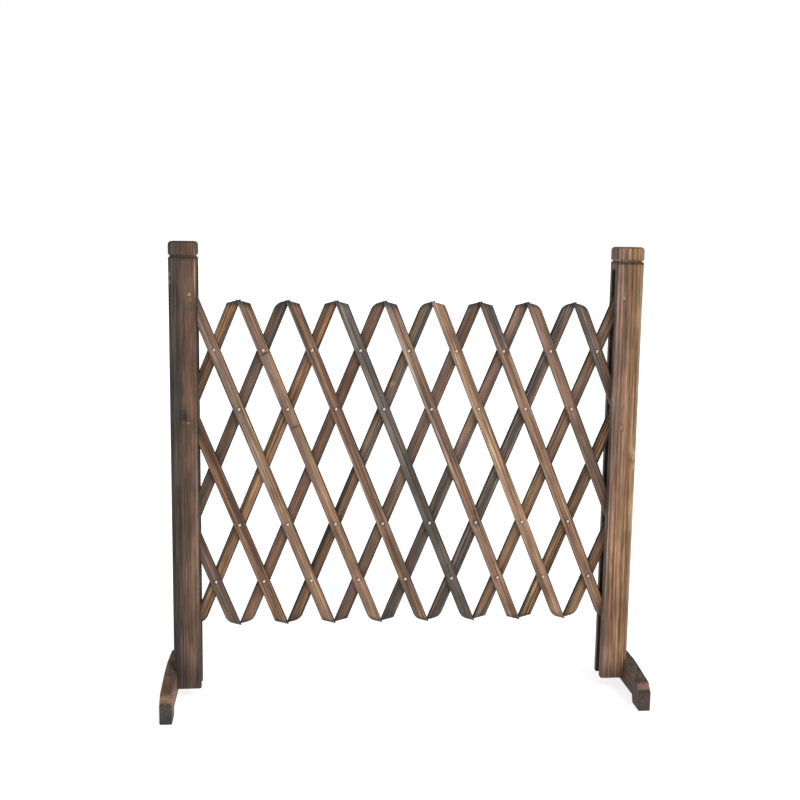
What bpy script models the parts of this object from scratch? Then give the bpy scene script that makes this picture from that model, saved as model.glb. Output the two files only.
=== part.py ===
"""Folding wooden fence trellis: two slotted posts on feet, joined by a riveted lazy-tongs lattice.

Metres, +Z up, +X to the right, the front faces -Y. The floor is z = 0 and the middle of the fence is x = 0.
A lattice crossing is named by its column and row: columns count half pitches from the left, rows count
down. A front slat leans left at the top and keeps column - row constant, which is its number. A back slat
leans right and keeps column + row constant.
"""

import math

import bmesh
import bpy
from mathutils import Matrix, Vector

# posts
post_width = 0.042
post_depth = 0.042
post_height = 0.700
post_edge_radius = 0.003
post_top_round = 0.0055
groove_below_top = 0.022
groove_height = 0.0064
groove_depth = 0.0030
slot_width = 0.017
slot_depth = 0.026
slot_below_top = 0.036
slot_runout_radius = 0.030

# feet
post_clearance = 0.021
foot_length = 0.210
foot_height = 0.051
foot_end_height = 0.043
foot_thickness = 0.019
foot_housing = 0.0045
foot_facet_length = 0.013
foot_facet_height = 0.013
foot_clearance = 0.012
foot_pad_length = 0.032
foot_pad_slope = 0.004
foot_edge_bevel = 0.001

# slats
slat_width = 0.018
slat_thickness = 0.0065
slat_edge_bevel = 0.0008
slat_layer_gap = 0.0003
slat_top_reach = 0.087
slat_bottom_reach = 0.081
slat_tip_cut_angle = math.radians(37.0)
clipped_corner_radius = 0.002
rounded_corner_radius = 0.018

# lattice
rivet_pitch = 0.099
pivot_reach = 0.092
pivot_inset = 0.011
pivot_below_top = 0.079
rest_angle = math.radians(22.2)
last_column = 16
lattice_rows = 5
riveted_rows = (1, 2, 4, 5)
slot_rows = (2, 4)

# rivets, pins and screws
rivet_shank_radius = 0.0015
rivet_hole_clearance = 0.0003
rivet_head_radius = 0.0023
rivet_head_height = 0.0008
rivet_head_rim = 0.0003
head_gap = 0.0003
pin_shank_radius = 0.0018
pin_head_radius = 0.0029
pin_head_height = 0.0010
pin_head_rim = 0.0004
pin_end_cover = 0.004
screw_shank_radius = 0.0020
screw_head_radius = 0.0038
screw_head_height = 0.0024
screw_length = 0.034
screw_spread = 0.028
fit_gap = 0.0003
cut_overrun = 0.005

# counts of sides and segments
hole_sides = 12
fastener_sides = 8
edge_segments = 4
corner_segments = 5
round_end_segments = 8

# which free slat ends are well rounded and not just clipped, by column - row or column + row
rounded_front_tops = (13, 15)
rounded_front_bottoms = (-5, 1, 3, 5, 9, 11)
rounded_back_tops = (3, 7, 9, 15)
rounded_back_bottoms = (5, 7, 9, 15, 21)

# the crossing (column, row) on which each slat turns against the slat that carries it
front_turns_on = {
    -5: ("back", 5, (0, 5)),
    -3: ("back", 7, (2, 5)),
    -1: ("post", None, None),
    1: ("back", 9, (5, 4)),
    3: ("back", 7, (5, 2)),
    5: ("back", 9, (7, 2)),
    7: ("back", 9, (8, 1)),
    9: ("back", 17, (13, 4)),
    11: ("back", 15, (13, 2)),
    13: ("back", 17, (15, 2)),
    15: ("back", 17, (16, 1)),
}
back_turns_on = {
    1: ("front", -1, (0, 1)),
    3: ("front", -1, (1, 2)),
    5: ("front", 1, (3, 2)),
    7: ("front", -1, (3, 4)),
    9: ("front", -1, (4, 5)),
    11: ("front", 7, (9, 2)),
    13: ("front", 5, (9, 4)),
    15: ("front", 7, (11, 4)),
    17: ("front", 7, (12, 5)),
    19: ("front", 9, (14, 5)),
    21: ("front", 11, (16, 5)),
}

# wood colours as seen on each piece, by column - row or column + row
post_colours = {-1: "5e4a42", 1: "8a6a5a"}
foot_colours = {-1: "5a4238", 1: "66524a"}
front_colours = {
    -5: "6a5c60",
    -3: "80604c",
    -1: "b08c6c",
    1: "86706a",
    3: "946c60",
    5: "4e4a4e",
    7: "a88470",
    9: "ae8260",
    11: "6c6058",
    13: "8c6a5e",
    15: "766458",
}
back_colours = {
    1: "a06a40",
    3: "54442e",
    5: "745a3c",
    7: "70523a",
    9: "3c3a2e",
    11: "84503c",
    13: "805848",
    15: "5c4a44",
    17: "5e482e",
    19: "6c5c4c",
    21: "ae7840",
}
steel_colour = "cfc8bf"
wood_roughness = 0.7
steel_roughness = 0.35

# derived places
half_column = rivet_pitch * math.sin(rest_angle)
row_pitch = rivet_pitch * math.cos(rest_angle)
post_bottom = post_clearance
post_top = post_bottom + post_height
pivot_height = post_top - pivot_below_top
first_row_height = pivot_height - pivot_reach * math.cos(rest_angle)
half_lattice = last_column / 2 * half_column
pivot_x = half_lattice + pivot_reach * math.sin(rest_angle)
inner_face_x = pivot_x - pivot_inset
post_x = inner_face_x + post_width / 2
outer_face_x = inner_face_x + post_width
foot_face_x = outer_face_x - foot_housing + foot_thickness
front_layer_y = -(slat_layer_gap + slat_thickness) / 2
back_layer_y = -front_layer_y
lattice_face_y = slat_layer_gap / 2 + slat_thickness


def linear(colour):
    """Linear red, green and blue of a colour written as six hexadecimal digits."""
    shares = [int(colour[place : place + 2], 16) / 255 for place in (0, 2, 4)]
    return [share / 12.92 if share <= 0.04045 else ((share + 0.055) / 1.055) ** 2.4 for share in shares]


def material(name, colour, roughness, metallic=0.0):
    made = bpy.data.materials.new(name)
    made.use_nodes = True
    shader = made.node_tree.nodes["Principled BSDF"]
    shader.inputs["Base Color"].default_value = (*linear(colour), 1.0)
    shader.inputs["Roughness"].default_value = roughness
    shader.inputs["Metallic"].default_value = metallic
    made.diffuse_color = (*linear(colour), 1.0)
    return made


def mesh_object(name, build, finish=None, location=(0, 0, 0), angle=0.0):
    """A new object whose mesh is filled by build(bm), turned by angle about the Y axis at its place."""
    mesh = bpy.data.meshes.new(name)
    bm = bmesh.new()
    build(bm)
    bmesh.ops.recalc_face_normals(bm, faces=bm.faces)
    bm.to_mesh(mesh)
    bm.free()
    made = bpy.data.objects.new(name, mesh)
    bpy.context.collection.objects.link(made)
    made.location = location
    made.rotation_euler = (0.0, angle, 0.0)
    if finish:
        mesh.materials.append(finish)
    return made


def add_box(bm, low, high):
    """A box between two corners, as new geometry in bm."""
    size = Vector(high) - Vector(low)
    middle = (Vector(high) + Vector(low)) / 2
    place = Matrix.Translation(middle) @ Matrix.Diagonal((*size, 1.0))
    bmesh.ops.create_cube(bm, size=1.0, matrix=place)


def add_prism(bm, outline, thickness, along="Y"):
    """Extrudes an outline of (across, up) points, centred on the plane square to the given axis."""
    if along == "Y":
        places = [Vector((u, -thickness / 2, v)) for u, v in outline]
        step = Vector((0, thickness, 0))
    else:
        places = [Vector((-thickness / 2, u, v)) for u, v in outline]
        step = Vector((thickness, 0, 0))
    face = bm.faces.new([bm.verts.new(place) for place in places])
    grown = bmesh.ops.extrude_face_region(bm, geom=[face])
    moved = [item for item in grown["geom"] if isinstance(item, bmesh.types.BMVert)]
    bmesh.ops.translate(bm, verts=moved, vec=step)


def add_turned(bm, profile, sides, matrix):
    """Turns a profile of (radius, along) points about local Z, caps both ends and places it by matrix."""
    rings = []
    for radius, along in profile:
        ring = []
        for side in range(sides):
            turn = 2 * math.pi * (side + 0.5) / sides
            point = Vector((radius * math.cos(turn), radius * math.sin(turn), along))
            ring.append(bm.verts.new(matrix @ point))
        rings.append(ring)
    for lower, upper in zip(rings, rings[1:]):
        for side in range(sides):
            after = (side + 1) % sides
            bm.faces.new((lower[side], lower[after], upper[after], upper[side]))
    bm.faces.new(reversed(rings[0]))
    bm.faces.new(rings[-1])


def edges_across(bm, axis, thickness):
    """The edges of a prism that lie in its two faces, which are one thickness apart along axis."""
    return [
        edge
        for edge in bm.edges
        if abs(getattr(edge.verts[0].co, axis) - getattr(edge.verts[1].co, axis)) < thickness / 2
    ]


def round_over(bm, edges, radius):
    bmesh.ops.bevel(bm, geom=edges, offset=radius, segments=edge_segments, profile=0.5, affect="EDGES")


def chamfer(bm, edges, width):
    bmesh.ops.bevel(bm, geom=edges, offset=width, segments=1, affect="EDGES")


def across_y(x, z, y=0.0):
    """Places a turned piece so that its axis runs along +Y through (x, z)."""
    return Matrix.Translation((x, y, z)) @ Matrix.Rotation(-math.pi / 2, 4, "X")


def across_x(y, z, x=0.0, towards=1):
    """Places a turned piece so that its axis runs along +X or -X through (y, z)."""
    return Matrix.Translation((x, y, z)) @ Matrix.Rotation(towards * math.pi / 2, 4, "Y")


def moved_by(offset, build):
    """The same filling of a mesh as build, moved by offset."""

    def fill(bm):
        build(bm)
        bmesh.ops.translate(bm, verts=bm.verts, vec=offset)

    return fill


def cutter(name, build, parent, operation="DIFFERENCE"):
    """A hidden mesh that parent's Boolean takes away or adds."""
    made = mesh_object(name, build)
    made.hide_render = True
    made.display_type = "WIRE"
    made.parent = parent
    cut = parent.modifiers.new(name, "BOOLEAN")
    cut.operation = operation
    cut.solver = "EXACT"
    cut.object = made


def fillet(before, corner, after, radius, segments):
    """Points of an arc of the given radius that rounds one corner of an outline."""
    to_before = (before - corner).normalized()
    to_after = (after - corner).normalized()
    half_angle = to_before.angle(to_after) / 2
    run = radius / math.tan(half_angle)
    centre = corner + (to_before + to_after).normalized() * (radius / math.sin(half_angle))
    first = corner + to_before * run - centre
    last = corner + to_after * run - centre
    sweep = first.angle_signed(last)
    return [centre + Matrix.Rotation(-sweep * step / segments, 2) @ first for step in range(segments + 1)]


def crossing(column, row):
    """The place of a lattice crossing. Columns -1 and last_column + 1 lie in the post slots."""
    x = (column - last_column / 2) * half_column
    z = first_row_height - (row - 1) * row_pitch
    return Vector((x, 0, z))


def slat_rows(number, layer):
    """The rows at which a slat meets another slat between the posts or inside a slot."""
    rows = []
    for row in range(1, lattice_rows + 1):
        column = number + row if layer == "front" else number - row
        inside = 0 <= column <= last_column
        in_slot = column in (-1, last_column + 1) and row in slot_rows
        if inside or in_slot:
            rows.append(row)
    return rows


def slat_column(number, layer, row):
    return number + row if layer == "front" else number - row


def end_kind(number, layer, row_end):
    """What a slat's end is beyond its first or last row: round in a slot, pinned in a post, or free."""
    rows = slat_rows(number, layer)
    row = rows[0] if row_end == "top" else rows[-1]
    column = slat_column(number, layer, row)
    if column in (-1, last_column + 1):
        return "slot"
    if row_end == "top" and (number, layer) in ((-1, "front"), (last_column + 1, "back")):
        return "pin"
    return "free"


def free_end(side, up, reach, radius):
    """Outline points of a sawn end: a sharp tip on one edge and a rounded corner on the other.

    side is the edge with the tip (-1 or +1), up is +1 for a top end, reach is measured along the slat.
    """
    half = slat_width / 2
    tip = Vector((side * half, up * reach))
    corner = Vector((-side * half, up * (reach - slat_width * math.tan(slat_tip_cut_angle))))
    foot = Vector((-side * half, 0))
    return [tip] + fillet(tip, corner, foot, radius, corner_segments)


def round_end(up, reach):
    """Outline points of a full round end about a hole, from the right edge over to the left one."""
    half = slat_width / 2
    points = []
    for step in range(round_end_segments + 1):
        turn = math.pi * step / round_end_segments
        points.append(Vector((half * math.cos(turn), up * (reach + half * math.sin(turn)))))
    return points


def slat_outline(number, layer, origin_row):
    """The closed outline of a slat in its own frame, up = +Y of the outline, zero at its turning point."""
    rows = slat_rows(number, layer)
    direction = -1 if layer == "front" else 1
    top_base = (origin_row - rows[0]) * rivet_pitch
    bottom_base = (rows[-1] - origin_row) * rivet_pitch
    tops, bottoms = rounded_front_tops, rounded_front_bottoms
    if layer == "back":
        tops, bottoms = rounded_back_tops, rounded_back_bottoms
    kind = end_kind(number, layer, "top")
    if kind == "free":
        radius = rounded_corner_radius if number in tops else clipped_corner_radius
        top = free_end(direction, 1, top_base + slat_top_reach, radius)
        top = top if direction == 1 else top[::-1]
    elif kind == "pin":
        top = round_end(1, top_base + pivot_reach)
    else:
        top = round_end(1, top_base)
    if end_kind(number, layer, "bottom") == "free":
        radius = rounded_corner_radius if number in bottoms else clipped_corner_radius
        bottom = free_end(-direction, -1, bottom_base + slat_bottom_reach, radius)
        bottom = bottom if direction == 1 else bottom[::-1]
    else:
        bottom = round_end(-1, bottom_base)[::-1]
    return top + bottom


def slat_hole_heights(number, layer, origin_row):
    """Heights of a slat's holes in its own frame, with its pivot hole where it has one."""
    rows = slat_rows(number, layer)
    heights = []
    for row in rows:
        column = slat_column(number, layer, row)
        riveted = row in riveted_rows or column in (-1, last_column + 1)
        if riveted and (layer == "back" or (column, row) in turning_crossings()):
            heights.append((origin_row - row) * rivet_pitch)
    if end_kind(number, layer, "top") == "pin":
        heights.append((origin_row - rows[0]) * rivet_pitch + pivot_reach)
    return heights


def make_slat(name, number, layer, turning_point, origin_row, finish):
    """One slat, with its origin on the axis on which it turns."""
    direction = -1 if layer == "front" else 1
    outline = slat_outline(number, layer, origin_row)

    def blank(bm):
        add_prism(bm, outline, slat_thickness)
        chamfer(bm, edges_across(bm, "y", slat_thickness), slat_edge_bevel)

    layer_y = front_layer_y if layer == "front" else back_layer_y
    place = (turning_point.x, layer_y, turning_point.z)
    slat = mesh_object(name, blank, finish, place, direction * rest_angle)

    def drills(bm):
        for height in slat_hole_heights(number, layer, origin_row):
            pinned = height > (origin_row - 1) * rivet_pitch + rivet_pitch / 2
            shank = pin_shank_radius if pinned else rivet_shank_radius
            run = slat_thickness / 2 + cut_overrun
            profile = [(shank + rivet_hole_clearance, -run), (shank + rivet_hole_clearance, run)]
            add_turned(bm, profile, hole_sides, across_y(0, height))

    cutter(f"{name}_drills", drills, slat)
    return slat


def rivet_profile(front_seat):
    """Half section of a rivet across the lattice, from its front head to its back head."""
    back_seat = lattice_face_y + head_gap
    return [
        (rivet_head_radius / 2, -lattice_face_y - head_gap - rivet_head_height),
        (rivet_head_radius, -lattice_face_y - head_gap - rivet_head_rim),
        (rivet_head_radius, -front_seat),
        (rivet_shank_radius, -front_seat),
        (rivet_shank_radius, back_seat),
        (rivet_head_radius, back_seat),
        (rivet_head_radius, back_seat + rivet_head_rim),
        (rivet_head_radius / 2, back_seat + rivet_head_height),
    ]


def turning_crossings():
    """The crossings whose rivet carries a slat. Each of these rivets is a piece of its own."""
    return [at for turns_on in (front_turns_on, back_turns_on) for _, _, at in turns_on.values() if at]


def make_rivet(name, place, finish):
    """One loose rivet through both slats at a crossing, with its origin on its own axis."""

    def build(bm):
        add_turned(bm, rivet_profile(lattice_face_y + head_gap), fastener_sides, across_y(0, 0))

    return mesh_object(name, build, finish, place)


def fuse_rivets(slat, number):
    """Joins to a front slat the rivets that carry no slat, set firmly in it and clear of the back slat."""
    places = []
    for row in slat_rows(number, "front"):
        column = slat_column(number, "front", row)
        riveted = row in riveted_rows or column in (-1, last_column + 1)
        if riveted and (column, row) not in turning_crossings():
            places.append(crossing(column, row) - Vector((slat.location.x, 0, slat.location.z)))
    if not places:
        return
    turn_back = Matrix.Rotation(-slat.rotation_euler.y, 4, "Y")

    def build(bm):
        for place in places:
            local = turn_back @ place
            set_in = rivet_profile(lattice_face_y - slat_thickness / 2)
            add_turned(bm, set_in, fastener_sides, across_y(local.x, local.z, -slat.location.y))

    cutter(f"{slat.name}_fused_rivets", build, slat, "UNION")


def post_blank(bm):
    """A post with its long edges and its top rounded, before any cut. The post's middle is x = 0 here."""
    low = (-post_width / 2, -post_depth / 2, post_bottom)
    high = (post_width / 2, post_depth / 2, post_top)
    add_box(bm, low, high)
    upright = [edge for edge in bm.edges if edge.calc_length() > post_height / 2]
    round_over(bm, upright, post_edge_radius)
    middle = (post_top + post_bottom) / 2
    rim = [edge for edge in bm.edges if min(vert.co.z for vert in edge.verts) > middle]
    round_over(bm, rim, post_top_round)


def groove_cutter(bm):
    """A square ring with a V inside edge, which leaves the groove round the post below its top."""
    height = post_top - groove_below_top
    half = groove_height / 2
    outside = post_width / 2 + cut_overrun
    slope = groove_height / 2 / groove_depth
    flare = half + cut_overrun * slope
    corners = ((-1, -1), (1, -1), (1, 1), (-1, 1))
    rings = []
    for reach, level in (
        (post_width / 2 - groove_depth, height),
        (outside, height + flare),
        (outside, height - flare),
    ):
        rings.append([bm.verts.new((sx * reach, sy * reach, level)) for sx, sy in corners])
    for inner, outer in ((rings[0], rings[1]), (rings[1], rings[2]), (rings[2], rings[0])):
        for corner in range(len(corners)):
            after = (corner + 1) % len(corners)
            bm.faces.new((inner[corner], inner[after], outer[after], outer[corner]))


def slot_cutter(side):
    """The slot in the inner face: full depth along the post, running out in an arc near the top."""

    def build(bm):
        face = -side * (post_width / 2)
        top = post_top - slot_below_top
        radius = slot_runout_radius
        run = math.sqrt(radius**2 - (radius - slot_depth) ** 2)
        arc_centre = Vector((face + side * (slot_depth - radius), top - run))
        sweep = math.acos((radius - slot_depth) / radius)
        outline = [
            Vector((face - side * cut_overrun, post_bottom - cut_overrun)),
            Vector((face + side * slot_depth, post_bottom - cut_overrun)),
        ]
        for step in range(round_end_segments + 1):
            turn = sweep * step / round_end_segments
            arm = Vector((side * math.cos(turn), math.sin(turn)))
            outline.append(arc_centre + radius * arm)
        outline.append(Vector((face - side * cut_overrun, top)))
        add_prism(bm, outline, slot_width)

    return build


def housing_cutter(side):
    """The shallow housing in the outer face that takes the foot."""

    def build(bm):
        outer = side * post_width / 2
        inner = outer - side * (foot_housing + fit_gap)
        far = outer + side * cut_overrun
        add_box(
            bm,
            (min(inner, far), -post_depth / 2 - cut_overrun, post_bottom - cut_overrun),
            (max(inner, far), post_depth / 2 + cut_overrun, foot_height + fit_gap),
        )

    return build


def pin_hole_cutter(side):
    """The blind hole for the pivot pin, drilled from the front."""

    def build(bm):
        radius = pin_shank_radius + fit_gap
        start = -post_depth / 2 - cut_overrun
        end = post_depth / 2 - pin_end_cover + fit_gap
        x = side * (pivot_x - post_x)
        add_turned(bm, [(radius, start), (radius, end)], hole_sides, across_y(x, pivot_height))

    return build


def screw_places():
    """The (y, z) of the two screws of a foot."""
    height = (foot_height + post_bottom) / 2
    return [(-screw_spread / 2, height), (screw_spread / 2, height)]


def screw_hole_cutter(side, origin_x):
    """Clearance holes for the screws of one foot, countersunk in its outer face, about x = origin_x."""

    def build(bm):
        radius = screw_shank_radius + fit_gap
        head = screw_head_radius + fit_gap
        for y, z in screw_places():
            profile = [
                (radius, -screw_length - fit_gap),
                (radius, -screw_head_height - fit_gap),
                (head, 0.0),
                (head, cut_overrun),
            ]
            add_turned(bm, profile, hole_sides, across_x(y, z, side * foot_face_x - origin_x, side))

    return build


def make_post(name, side, finish):
    """A post with all its cuts. Its origin is on the axis of its pivot pin."""
    pivot = Vector((side * pivot_x, 0, pivot_height))
    offset = Vector((side * post_x, 0, 0)) - pivot
    post = mesh_object(name, moved_by(offset, post_blank), finish, pivot)
    cuts = {
        "housing": housing_cutter(side),
        "screw_holes": screw_hole_cutter(side, side * post_x),
        "slot": slot_cutter(side),
        "pin_hole": pin_hole_cutter(side),
        "groove": groove_cutter,
    }
    for label, build in cuts.items():
        cutter(f"{name}_{label}", moved_by(offset, build), post)
    return post


def foot_outline():
    """Side outline of a foot in (y, z): level at the post, falling to a sloped facet at each end.

    Two pads stand on the floor, with a raised middle between them.
    """
    half = foot_length / 2
    pad_end = half - foot_pad_length
    right = [
        Vector((pad_end - foot_pad_slope, foot_clearance)),
        Vector((pad_end, 0)),
        Vector((half, 0)),
        Vector((half, foot_end_height - foot_facet_height)),
        Vector((half - foot_facet_length, foot_end_height)),
        Vector((post_depth / 2, foot_height)),
    ]
    left = [Vector((-point.x, point.y)) for point in reversed(right)]
    return right + left


def make_foot(name, side, finish):
    """A foot board let into the post's outer face."""

    def build(bm):
        add_prism(bm, foot_outline(), foot_thickness, along="X")
        chamfer(bm, edges_across(bm, "x", foot_thickness), foot_edge_bevel)

    x = side * (foot_face_x - foot_thickness / 2)
    foot = mesh_object(name, build, finish, (x, 0, 0))
    cutter(f"{name}_screw_holes", screw_hole_cutter(side, x), foot)
    return foot


def make_screw(name, side, place, finish):
    """One countersunk screw of a foot, its head flush with the outer face."""

    def build(bm):
        profile = [
            (screw_shank_radius, -screw_length),
            (screw_shank_radius, -screw_head_height),
            (screw_head_radius, -fit_gap),
        ]
        add_turned(bm, profile, fastener_sides, across_x(0, 0, 0, side))

    return mesh_object(name, build, finish, (side * foot_face_x, *place))


def make_pin(name, side, finish):
    """The nail through a post that carries the top end of one slat. Its head is on the front."""

    def build(bm):
        seat = -post_depth / 2 - head_gap
        profile = [
            (pin_head_radius / 2, seat - pin_head_height),
            (pin_head_radius, seat - pin_head_rim),
            (pin_head_radius, seat),
            (pin_shank_radius, seat),
            (pin_shank_radius, post_depth / 2 - pin_end_cover),
        ]
        add_turned(bm, profile, fastener_sides, across_y(0, 0))

    return mesh_object(name, build, finish, (side * pivot_x, 0, pivot_height))


def hang(child, parent):
    """Makes child move with parent from where it now stands."""
    bpy.context.view_layer.update()
    child.parent = parent
    child.matrix_parent_inverse = parent.matrix_world.inverted()


def clear_scene():
    for old in list(bpy.data.objects):
        bpy.data.objects.remove(old, do_unlink=True)


def main():
    clear_scene()
    steel = material("zinc steel", steel_colour, steel_roughness, 1.0)
    posts = {}
    for name, side in (("left", -1), ("right", 1)):
        post_wood = material(f"{name} post pine", post_colours[side], wood_roughness)
        foot_wood = material(f"{name} foot pine", foot_colours[side], wood_roughness)
        posts[side] = make_post(f"{name}_post", side, post_wood)
        hang(make_foot(f"{name}_foot", side, foot_wood), posts[side])
        hang(make_pin(f"{name}_pivot_pin", side, steel), posts[side])
        for where, place in zip(("front", "rear"), screw_places()):
            hang(make_screw(f"{name}_foot_screw_{where}", side, place, steel), posts[side])

    pivot = Vector((-pivot_x, 0, pivot_height))
    slats = {}
    layers = (("front", front_turns_on, front_colours), ("back", back_turns_on, back_colours))
    for layer, turns_on, colours in layers:
        for place, (number, (_, _, at)) in enumerate(sorted(turns_on.items()), start=1):
            wood = material(f"{layer} slat pine {place:02d}", colours[number], wood_roughness)
            name = f"{layer}_slat_{place:02d}"
            if at is None:
                origin_row = 1 - pivot_reach / rivet_pitch
                slats[layer, number] = make_slat(name, number, layer, pivot, origin_row, wood)
            else:
                slats[layer, number] = make_slat(name, number, layer, crossing(*at), at[1], wood)
    for number in front_turns_on:
        fuse_rivets(slats["front", number], number)
    for column, row in sorted(turning_crossings()):
        rivet = make_rivet(f"rivet_row{row}_{column // 2 + 1:02d}", crossing(column, row), steel)
        hang(rivet, slats["front", column - row])

    hang(slats["front", -1], posts[-1])
    for layer, turns_on, _ in layers:
        for number, (carrier, carrier_number, _) in turns_on.items():
            if carrier != "post":
                hang(slats[layer, number], slats[carrier, carrier_number])
    hang(posts[1], slats["back", last_column + 1])


main()
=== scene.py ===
from math import radians, tan
import bpy
import bmesh
from mathutils import Euler, Matrix, Vector


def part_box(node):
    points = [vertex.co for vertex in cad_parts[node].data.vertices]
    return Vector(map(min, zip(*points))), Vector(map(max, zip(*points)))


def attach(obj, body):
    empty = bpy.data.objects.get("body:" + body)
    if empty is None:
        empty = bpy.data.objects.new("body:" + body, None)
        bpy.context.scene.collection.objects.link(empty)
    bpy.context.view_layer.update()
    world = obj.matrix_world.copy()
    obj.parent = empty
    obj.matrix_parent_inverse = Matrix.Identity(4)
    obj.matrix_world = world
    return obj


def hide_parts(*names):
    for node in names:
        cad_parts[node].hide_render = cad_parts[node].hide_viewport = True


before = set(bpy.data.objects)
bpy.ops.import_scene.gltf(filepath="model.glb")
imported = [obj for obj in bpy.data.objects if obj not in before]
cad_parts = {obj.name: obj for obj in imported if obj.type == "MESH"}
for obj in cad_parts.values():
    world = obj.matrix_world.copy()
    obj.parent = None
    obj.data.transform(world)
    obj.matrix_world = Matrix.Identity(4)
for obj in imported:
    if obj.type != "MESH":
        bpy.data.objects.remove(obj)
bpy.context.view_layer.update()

print("stage: model loaded,", len(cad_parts), "nodes")

mm = 0.001
slatLean = radians(22.2)       # how far a slat leans from upright at rest
tipCut = tan(radians(37))      # slope of the sawn slat tips
smoothBelow = radians(38)      # steeper edges stay sharp
squarely = 0.9                 # a face is picked when its normal has this much of the axis
flush = 0.01 * mm              # and it lies this close to the place
noiseLow, noiseHigh = 0.3, 0.7      # nearly all of a noise lies between these


# shared helpers

def linearColour(hexColour):
    # sRGB hex to the linear colour that the nodes want
    parts = [int(hexColour[i:i + 2], 16) / 255 for i in (0, 2, 4)]
    parts = [c / 12.92 if c <= 0.04045 else ((c + 0.055) / 1.055) ** 2.4 for c in parts]
    return (*parts, 1.0)


def setInputs(tree, node, inputs):
    # a node or a socket is linked, anything else is set as the input's value
    for name, value in inputs.items():
        if isinstance(value, bpy.types.Node):
            value = next(out for out in value.outputs if out.enabled)
        if isinstance(value, bpy.types.NodeSocket):
            tree.links.new(value, node.inputs[name])
        else:
            node.inputs[name].default_value = value


def addNode(tree, kind, inputs=None, stops=None, **settings):
    # adds one node with its settings, inputs and ramp stops
    node = tree.nodes.new("ShaderNode" + kind)
    for key, value in settings.items():
        setattr(node, key, value)
    setInputs(tree, node, inputs or {})
    if stops:
        ramp = node.color_ramp
        while len(ramp.elements) < len(stops):
            ramp.elements.new(0.5)
        for element, (place, colour) in zip(ramp.elements, stops):
            element.position = place
            element.color = colour
    return node


def newMaterial(name):
    material = bpy.data.materials.new(name)
    material.use_nodes = True
    return material, material.node_tree, material.node_tree.nodes["Principled BSDF"]


def deselectAll():
    if bpy.context.object and bpy.context.object.mode != "OBJECT":
        bpy.ops.object.mode_set(mode="OBJECT")
    bpy.ops.object.select_all(action="DESELECT")


def applyPlace(piece):
    deselectAll()
    piece.select_set(True)
    bpy.context.view_layer.objects.active = piece
    bpy.ops.object.transform_apply(location=True, rotation=True, scale=True)


def middle(node):
    low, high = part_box(node)
    return (Vector(low) + Vector(high)) / 2


# wood tones of the scorched pine, sRGB

pineTones = {
    "soot": "25201d", "char": "37302c", "coal": "39393b", "graphite": "4a4848",
    "pitch": "45433c", "slate": "5f5852", "dusk": "66554b", "umber": "5e4a3c",
    "bark": "735a49", "mauve": "7e6759", "ash": "8f8073", "rosewood": "876854",
    "redwood": "714f40", "rust": "80523f", "tan": "977960", "sand": "a98d70",
    "moss": "5a4c3b", "olive": "715d45", "copper": "8b6649", "gold": "8c6e4d",
    "cocoa": "4b3e37", "shell": "9e7b6a",
}
lateVeil = "a2897c"      # what the late wood lines are multiplied with

# figure of the pine: lengths in millimetres, noise scales in patterns per millimetre; a
# stretch below 1 draws a pattern out along the grain
pineFigure = {
    "wander": {"Scale": 0.12, "Detail": 1.0},                      # tones drift every 8 mm
    "fibre": {"Scale": 0.9, "Detail": 3.0, "Roughness": 0.65},     # 1.1 mm fibre bundles
    "blotch": {"Scale": 0.035, "Detail": 2.0},                     # 30 mm clouds
    "ragged": {"Scale": 0.22, "Detail": 3.0},                      # 5 mm frays of an outline
    "bands": {"Detail": 2.0},                                      # of early and late wood
    "lines": {"Detail": 1.5, "Distortion": 0.3},                   # left by the wire brush
    "rings": {"Distortion": 2.2, "Detail": 2.0, "Detail Scale": 0.7,
              "Detail Roughness": 0.55},                           # growth rings
    "fibreStretch": 0.03, "lineStretch": 0.014, "blotchStretch": 0.4, "ringStretch": 0.15,
    "ringTurn": 0.31416,                # a wave texture of scale 1 repeats after this
    "pithLean": 4,                      # degrees that the pith leans through the depth
    "ringDark": ((0.0, 0.0), (0.45, 0.12), (0.86, 1.0), (1.0, 0.0)),     # through one ring
    "bandSpan": (0.35, 0.65), "leastLate": 0.15,      # where the bands leave little late wood
    "sway": 0.36, "tear": 0.42,         # how far the tones stray, in widths of the piece
    "halfSpan": (0.36, 0.64),           # where the lower half's tones turn into the upper's
    "spotRagged": 0.9, "spotFibre": 0.25, "spotShift": -0.5,       # frays a spot's outline
    "spotFade": (1.4, 0.45),            # a spot starts and is full here, in its half sizes
    "knotReach": 3.0, "knotTurns": 11.0, "knotRagged": 9.0,        # rings round and in a knot
    "knotSpan": (-0.2, 1.0), "knotDark": 0.75,
    "arrisFray": 1.6, "arrisEnd": 0.35, "endFray": 5.0, "endDark": 0.9,
    "clouds": 0.12, "fibres": 0.17, "lineSpan": (0.36, 0.62),      # depth of light and dark
    "roughness": (0.78, 0.6), "shine": 0.25,
    "lateRelief": 0.7, "lineRelief": 1.2, "bump": {"Strength": 0.6, "Distance": 0.25 * mm},
}
# a post's slot, darkened as char and as painted shade of the recess; from its middle: full
# and no darkening to the sides, its floor, its upper end
slotCharAndShadeReach = {"full": 8.5, "none": 9.3, "floor": 6.0, "below": 34, "dark": 0.85}
upwardFaceSpan = (0.8, 0.95)        # how much a face looks upwards where its top-face tone starts and is full


def tone(word):
    return linearColour(pineTones[word])


def toneStops(words):
    # the named tones side by side over the width of a piece
    words = words.split()
    gap = 1 / len(words)
    return [(gap * (i + 0.5), tone(word)) for i, word in enumerate(words)]


def measure(node, turn):
    # centre in metres and half sizes in millimetres along the piece's own directions
    spin = Euler(turn).to_matrix()
    points = [spin.transposed() @ v.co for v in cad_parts[node].data.vertices]
    low = Vector([min(p[i] for p in points) for i in range(3)])
    high = Vector([max(p[i] for p in points) for i in range(3)])
    return spin @ ((low + high) / 2), (high - low) / 2 / mm


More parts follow.
